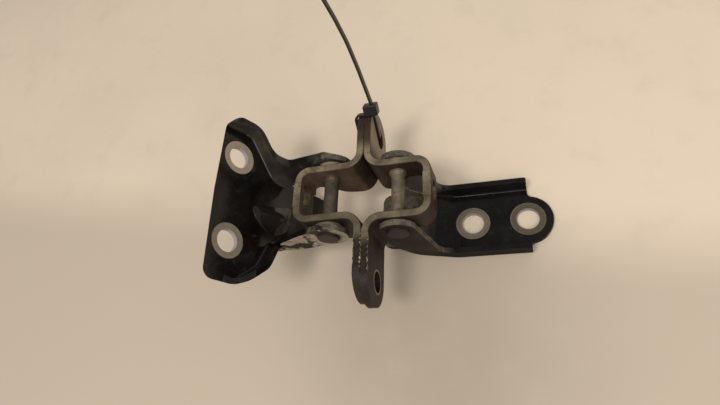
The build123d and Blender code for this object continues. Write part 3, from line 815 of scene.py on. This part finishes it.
def coat_material(name, settings, rings, pin, ear, gloss_level, peel=None, reflection=None):
    """Glossy black coat with bare washer marks, matte ears, rubbed rims, and painted reflection on the flange
    walls, the dome and the bores.

    rings lists each washer mark's place, axis and brightness. ear gives how far the matte
    zone reaches from the pin, how much of its rim is rubbed and how pale its upper side is.
    peel gives how much is peeled off the lower ear and from where to where. reflection is
    the way that the plate with the painted reflection faces.
    """
    shader = Shader(name)
    cloud = shader.noise(60.0, 4.0, 0.55)
    dust = shader.noise(240.0, 8.0, 0.7)
    fine = shader.noise(900.0, 3.0, 0.6)
    orange = shader.noise(330.0, 2.0, 0.5)
    ny = shader.split(shader.coords.outputs["Normal"])[1]
    gloss = shader.spread(settings.coat_color, 0.8, 1.9, shader.ramp(cloud, 0.35, 0.75))
    grime = shader.both(shader.ramp(dust, 0.55, 0.75), 0.35)
    color = shader.mix(grime, gloss, grime_color)
    drawn = shader.place(turn=(0.2, 0.3, 0.7), scale=(0.12, 2.4, 0.6))
    scratch = shader.noise(300.0, 3.0, 0.6, drawn)
    lines = shader.both(shader.ramp(scratch, 0.66, 0.70), shader.ramp(dust, 0.45, 0.6))
    color = shader.mix(shader.both(lines, 0.4), color, scratch_color)

    # painted reflection: a brown tone on the upper flange's walls, which mirror the table, and over the dome
    spread, _ = shader.radius(pin, (0, 1, 0))
    height_y = shader.split(shader.coords.outputs["Object"])[1]
    if reflection:
        lean = shader.add("ShaderNodeVectorMath", operation="DOT_PRODUCT")
        shader.wire(shader.coords.outputs["Normal"], lean.inputs[0])
        lean.inputs[1].default_value = reflection
        flat = shader.ramp(shader.math("ABSOLUTE", lean.outputs["Value"]), 0.6, 0.9)
        wall = shader.inverse(flat)
        wall = shader.both(wall, shader.ramp(height_y, pin[1] + 0.004, pin[1] + 0.009))
        wall = shader.both(wall, shader.ramp(spread, 0.022, 0.034))
        brown_reflection = shader.spread(settings.reflection_tone_color, 0.5, 1.4, shader.ramp(cloud, 0.3, 0.7))
        color = shader.mix(shader.both(wall, 0.85), color, brown_reflection)
        around, _ = shader.radius(dome_foot(settings, Vector(reflection)), reflection)
        # painted reflection: a soft brown disc over the dome
        hump = shader.both(shader.inverse(shader.ramp(around, 0.0085, 0.0165)), 0.42)
        color = shader.mix(hump, color, tint(settings.reflection_tone_color, 0.65))

    # ears: matte brown faces and a rubbed rim
    near = shader.inverse(shader.ramp(spread, ear["from"], ear["to"]))
    side = shader.ramp(shader.math("ABSOLUTE", ny), 0.85, 0.97)
    matte = shader.both(near, side)
    dull = shader.spread(settings.matte_color, 0.75, 1.35, shader.ramp(cloud, 0.3, 0.7))
    color = shader.mix(matte, color, dull)
    rim = shader.both(near, shader.inverse(side))
    chips = shader.noise(130.0, 5.0, 0.6)
    rim = shader.both(rim, shader.ramp(chips, ear["rub"], ear["rub"] + 0.12))
    upper = shader.ramp(height_y, pin[1] + 0.010, pin[1] + 0.014)
    top = shader.both(shader.both(near, side), upper)
    color = shader.mix(shader.both(top, ear["pale"]), color, tint(settings.bare_color, 0.9))
    rub = shader.spread(settings.bare_color, 0.5, 1.15, shader.ramp(dust, 0.35, 0.65))
    color = shader.mix(shader.both(rim, 0.9), color, rub)
    if peel:
        flakes = shader.noise(75.0, 7.0, 0.62, shader.place(offset=(0.12, 0.0, 0.31)))
        flakes = shader.ramp(flakes, peel["amount"], peel["amount"] + 0.05)
        below = shader.ramp(height_y, pin[1] - 0.011, pin[1] - 0.014)
        bare = shader.both(flakes, shader.both(shader.ramp(ny, -0.9, -0.97), below))
        bare = shader.both(bare, shader.between(spread, peel["from"], peel["to"], 0.002))
        silver = shader.spread(settings.bare_color, 1.0, 2.3, shader.ramp(dust, 0.3, 0.6))
        color = shader.mix(bare, color, silver)
        matte = shader.math("MAXIMUM", matte, bare)

    # washer marks, and bare bores whose bright violet tone is a painted reflection
    worn = shader.ramp(shader.noise(380.0, 6.0, 0.7), 0.3, 0.62)
    mark = bore = lathe = 0.0
    for place, axis, gain in rings:
        radius, height = shader.radius(place, axis)
        above = shader.math("GREATER_THAN", height, -mark_depth)
        one = shader.both(shader.math("LESS_THAN", radius, settings.ring_radius), above)
        wall = shader.math("LESS_THAN", radius, settings.hole_radius + bore_margin)
        grooves = shader.combine(shader.both(radius, 2600.0), place[0] * 90.0)
        turned = shader.noise(1.0, 2.0, 0.6, grooves)
        metal = tint(settings.ring_color, gain)
        ring = shader.spread(metal, 0.6, 1.3, shader.ramp(turned, 0.35, 0.65))
        ring = shader.mix(shader.both(shader.inverse(worn), 0.35), ring, tint(metal, 0.4))
        color = shader.mix(one, color, ring)
        mark = shader.math("MAXIMUM", mark, one)
        bore = shader.math("MAXIMUM", bore, wall)
        lathe = shader.math("ADD", lathe, shader.both(one, turned))
    color = shader.mix(bore, color, settings.bore_and_reflection_color)

    rough = shader.math("ADD", shader.both(grime, 0.5), settings.coat_roughness)
    rough = shader.math("MAXIMUM", rough, shader.both(matte, 0.7))
    rough = shader.math("MAXIMUM", rough, shader.both(shader.ramp(ny, -0.6, -0.9), 0.7))
    rough = shader.math("MAXIMUM", rough, shader.both(rim, 0.5))
    rough = shader.math("MAXIMUM", rough, shader.both(mark, 0.45))
    metal = shader.both(shader.math("MAXIMUM", mark, rim), 0.25)
    normal = shader.bump(orange, 0.05, 0.0004)
    normal = shader.bump(fine, 0.06, 0.0001, normal)
    normal = shader.bump(lathe, 0.3, 0.0001, normal)
    return shader.surface(color, rough, metal, normal, Specular_IOR_Level=gloss_level)


def rim_highlight_material(settings):
    """Painted highlight on the rounded rims of the leaves: rubbed paint with lighter bare streaks, standing in for
    thin bright lines along the edges.
    """
    shader = Shader("painted_rim_highlight")
    cloud = shader.noise(150.0, 6.0, 0.65)
    fine = shader.noise(700.0, 4.0, 0.6)
    rub = shader.both(shader.ramp(cloud, 0.36, 0.54), shader.ramp(fine, 0.25, 0.55))
    color = shader.mix(rub, tint(settings.coat_color, 3.0), tint(settings.bare_color, 1.5))
    rough = shader.math("ADD", shader.both(rub, 0.25), 0.16)
    normal = shader.bump(fine, 0.1, 0.0001)
    return shader.surface(color, rough, shader.both(rub, 0.4), normal, Specular_IOR_Level=0.5)


def nylon_material(settings):
    """Black nylon, faintly grained."""
    shader = Shader("tie_nylon")
    cloud = shader.noise(300.0, 3.0, 0.5)
    color = shader.spread(settings.nylon_color, 0.8, 1.5, cloud)
    normal = shader.bump(cloud, 0.1, 0.0001)
    return shader.surface(color, 0.38, 0.0, normal, Specular_IOR_Level=0.35)


# Operators


class HINGE_OT_stage(bpy.types.Operator):
    """Sets the table, the lamps and the camera"""

    bl_idname = "hinge.stage"
    bl_label = "Stage"

    def execute(self, context):
        settings = context.scene.hinge_stage
        form = bmesh.new()
        bmesh.ops.create_grid(form, x_segments=1, y_segments=1, size=table_half_width)
        table = new_piece(context, "table_top", form)
        shader = Shader("table_top")
        broad = shader.noise(5.0, 4.0, 0.55)
        mottle = shader.noise(42.0, 6.0, 0.6)
        x, y, _ = shader.split(shader.coords.outputs["Object"])
        # painted shadow: beyond a soft slanted line the table turns to the shade colour towards the near side
        across = shader.math("ADD", y, shader.both(x, 0.163))
        shade = shader.ramp(across, 0.022, -0.034)
        color = shader.mix(shade, settings.table_color, settings.shade_color)
        # painted shade: a soft darker spot on the table in front of the hinges, inside the painted shadow
        gap, _ = shader.radius(settings.shade_place, (0, 0, 1))
        shade_spot = shader.inverse(shader.ramp(gap, 0.01, 0.12))
        dim = shader.both(shader.both(shade_spot, shade), 0.8)
        color = shader.mix(dim, color, tint(settings.shade_color, 0.66))
        # painted light: the table's right side, outside the painted shadow, a little lighter
        right = shader.both(shader.ramp(x, -0.12, 0.1), shader.inverse(shade))
        color = shader.mix(shader.both(right, 0.5), color, tint(settings.table_color, 1.1))
        clouds = shader.both(shader.ramp(broad, 0.4, 0.7), 0.3)
        color = shader.mix(clouds, color, tint(settings.shade_color, 1.05))
        spots = shader.both(shader.ramp(mottle, 0.5, 0.75), 0.22)
        color = shader.mix(spots, color, settings.shade_color)
        normal = shader.bump(mottle, 0.1, 0.0004)
        dress(table, shader.surface(color, 0.6, 0.0, normal, Specular_IOR_Level=0.2))

        for name, place, width, height, share in (
            ("lamp_glint", (-0.25, -0.42, 1.15), 0.24, 0.24, 1.0),
            ("lamp_soft", (0.2, -0.6, 1.15), 0.8, 0.8, 1.15),
            ("lamp_rim", (0.97, 0.0, 0.145), 0.42, 0.09, 0.26),
        ):
            data = bpy.data.lights.new(name, "AREA")
            data.shape = "RECTANGLE"
            data.size = width
            data.size_y = height
            data.energy = settings.lamp_power * share
            data.color = lamp_color
            lamp = bpy.data.objects.new(name, data)
            lamp.location = place
            aim = Vector(lamp_target) - Vector(place)
            lamp.rotation_euler = aim.to_track_quat("-Z", "Y").to_euler()
            context.scene.collection.objects.link(lamp)

        world = bpy.data.worlds.new("room")
        world.use_nodes = True
        sky = world.node_tree.nodes["Background"]
        sky.inputs["Color"].default_value = sky_color
        sky.inputs["Strength"].default_value = settings.sky_strength
        context.scene.world = world

        data = bpy.data.cameras.new("camera")
        data.sensor_width = sensor_width
        data.lens = settings.lens
        data.clip_start = 0.01
        camera = bpy.data.objects.new("camera", data)
        pose = Matrix.Translation(right_axis + Vector(camera_place))
        for axis, angle in camera_turns:
            pose = pose @ Matrix.Rotation(angle, 4, axis)
        camera.matrix_world = pose
        context.scene.collection.objects.link(camera)
        context.scene.camera = camera
        context.scene.view_settings.view_transform = "Standard"
        return {"FINISHED"}


class HINGE_OT_brackets(bpy.types.Operator):
    """Finishes the two bent brackets"""

    bl_idname = "hinge.brackets"
    bl_label = "Brackets"

    def execute(self, context):
        settings = context.scene.hinge_steel
        for name, side in (("left_bracket", -1), ("right_bracket", 1)):
            dress(nodes[name], strap_steel_material(name + "_steel", settings, side))
            soften(nodes[name], strap_bevel)
        return {"FINISHED"}


class HINGE_OT_pins(bpy.types.Operator):
    """Finishes the pins, washers and bushes"""

    bl_idname = "hinge.pins"
    bl_label = "Pins"

    def execute(self, context):
        settings = context.scene.hinge_steel
        dull = tint(settings.pin_color, 0.5)
        left = pin_steel_material("left_pin_steel", dull, left_axis.y + 0.012, settings)
        # no bloom on the right pin: its collar is put beyond the pin's end
        right = pin_steel_material(
            "right_pin_steel", settings.pin_color, right_axis.y + 0.2, settings
        )
        dress(nodes["left_pin"], left)
        dress(nodes["right_pin"], right)
        washer = washer_material(settings)
        for name in nodes:
            if name.endswith(("_washer", "_bush")):
                dress(nodes[name], washer)
        return {"FINISHED"}


class HINGE_OT_leaves(bpy.types.Operator):
    """Finishes the two black leaves"""

    bl_idname = "hinge.leaves"
    bl_label = "Leaves"

    def execute(self, context):
        settings = context.scene.hinge_coat
        upper, lower = mounts["left_leaf_upper_bolt"], mounts["left_leaf_lower_bolt"]
        left = coat_material(
            "left_coat",
            settings,
            # the lower washer mark is kept darker than the upper one as painted shade
            [(upper["pos_m"], upper["axis"], 2.4), (lower["pos_m"], lower["axis"], 1.5)],
            left_axis,
            {"from": 0.0105, "to": 0.0125, "rub": 0.38, "pale": 0.0},
            settings.coat_gloss * 2,
            peel={"amount": 0.44, "from": 0.006, "to": 0.036},
            reflection=upper["axis"],
        )
        reach = mounts["right_leaf_bolts"]["dims"]["spacing_x_mm"] / 2000
        right = coat_material(
            "right_coat",
            settings,
            [
                ((-reach, 0, right_mark_z), (0, 0, 1), 1.25),
                ((reach, 0, right_mark_z), (0, 0, 1), 0.8),
            ],
            right_axis,
            {"from": 0.034, "to": 0.044, "rub": 0.30, "pale": 0.8},
            settings.coat_gloss,
        )
        rise = Vector(upper["axis"])
        mesh, form = merged_copy("left_leaf", "left_pressing")
        press_dome(form, rise, settings)
        form.to_mesh(mesh)
        form.free()
        if "custom_normal" in mesh.attributes:
            mesh.attributes.remove(mesh.attributes["custom_normal"])
        pressing = bpy.data.objects.new("left_pressing", mesh)
        context.scene.collection.objects.link(pressing)
        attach(pressing, "left_side")
        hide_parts("left_leaf")
        dress(left_hump(context, rise, settings), left)
        # the bevelled rims of the leaves get the painted rim highlight
        rim = rim_highlight_material(settings)
        cheek = right_cheek(context, settings)
        for piece, coat in ((pressing, left), (nodes["right_leaf"], right), (cheek, right)):
            dress(piece, coat, rim)
            soften(piece, leaf_bevel, rim=1)
        return {"FINISHED"}


class HINGE_OT_cable_tie(bpy.types.Operator):
    """Finishes the cable tie"""

    bl_idname = "hinge.cable_tie"
    bl_label = "Cable Tie"

    def execute(self, context):
        nylon = nylon_material(context.scene.hinge_tie)
        for name in ("tie_loop", "tie_head", "tie_tail"):
            dress(nodes[name], nylon)
            soften(nodes[name], tie_bevel)
        return {"FINISHED"}


class HINGE_PT_panel(bpy.types.Panel):
    """Lists the steps that dress the hinges"""

    bl_label = "Hinge Pair"
    bl_idname = "HINGE_PT_panel"
    bl_space_type = "VIEW_3D"
    bl_region_type = "UI"
    bl_category = "Hinge Pair"

    def draw(self, context):
        for step in steps:
            self.layout.operator(step.bl_idname)


groups = (HingeSteelSettings, HingeCoatSettings, HingeTieSettings, HingeStageSettings)
steps = (HINGE_OT_stage, HINGE_OT_brackets, HINGE_OT_pins, HINGE_OT_leaves, HINGE_OT_cable_tie)


def register():
    for cls in groups + steps + (HINGE_PT_panel,):
        bpy.utils.register_class(cls)
    bpy.types.Scene.hinge_steel = bpy.props.PointerProperty(type=HingeSteelSettings)
    bpy.types.Scene.hinge_coat = bpy.props.PointerProperty(type=HingeCoatSettings)
    bpy.types.Scene.hinge_tie = bpy.props.PointerProperty(type=HingeTieSettings)
    bpy.types.Scene.hinge_stage = bpy.props.PointerProperty(type=HingeStageSettings)


def unregister():
    del bpy.types.Scene.hinge_stage
    del bpy.types.Scene.hinge_tie
    del bpy.types.Scene.hinge_coat
    del bpy.types.Scene.hinge_steel
    for cls in reversed(groups + steps + (HINGE_PT_panel,)):
        bpy.utils.unregister_class(cls)


def main():
    register()
    bpy.ops.hinge.stage()
    bpy.ops.hinge.brackets()
    bpy.ops.hinge.pins()
    bpy.ops.hinge.leaves()
    bpy.ops.hinge.cable_tie()
    bpy.context.view_layer.update()


if __name__ == "__main__":
    main()
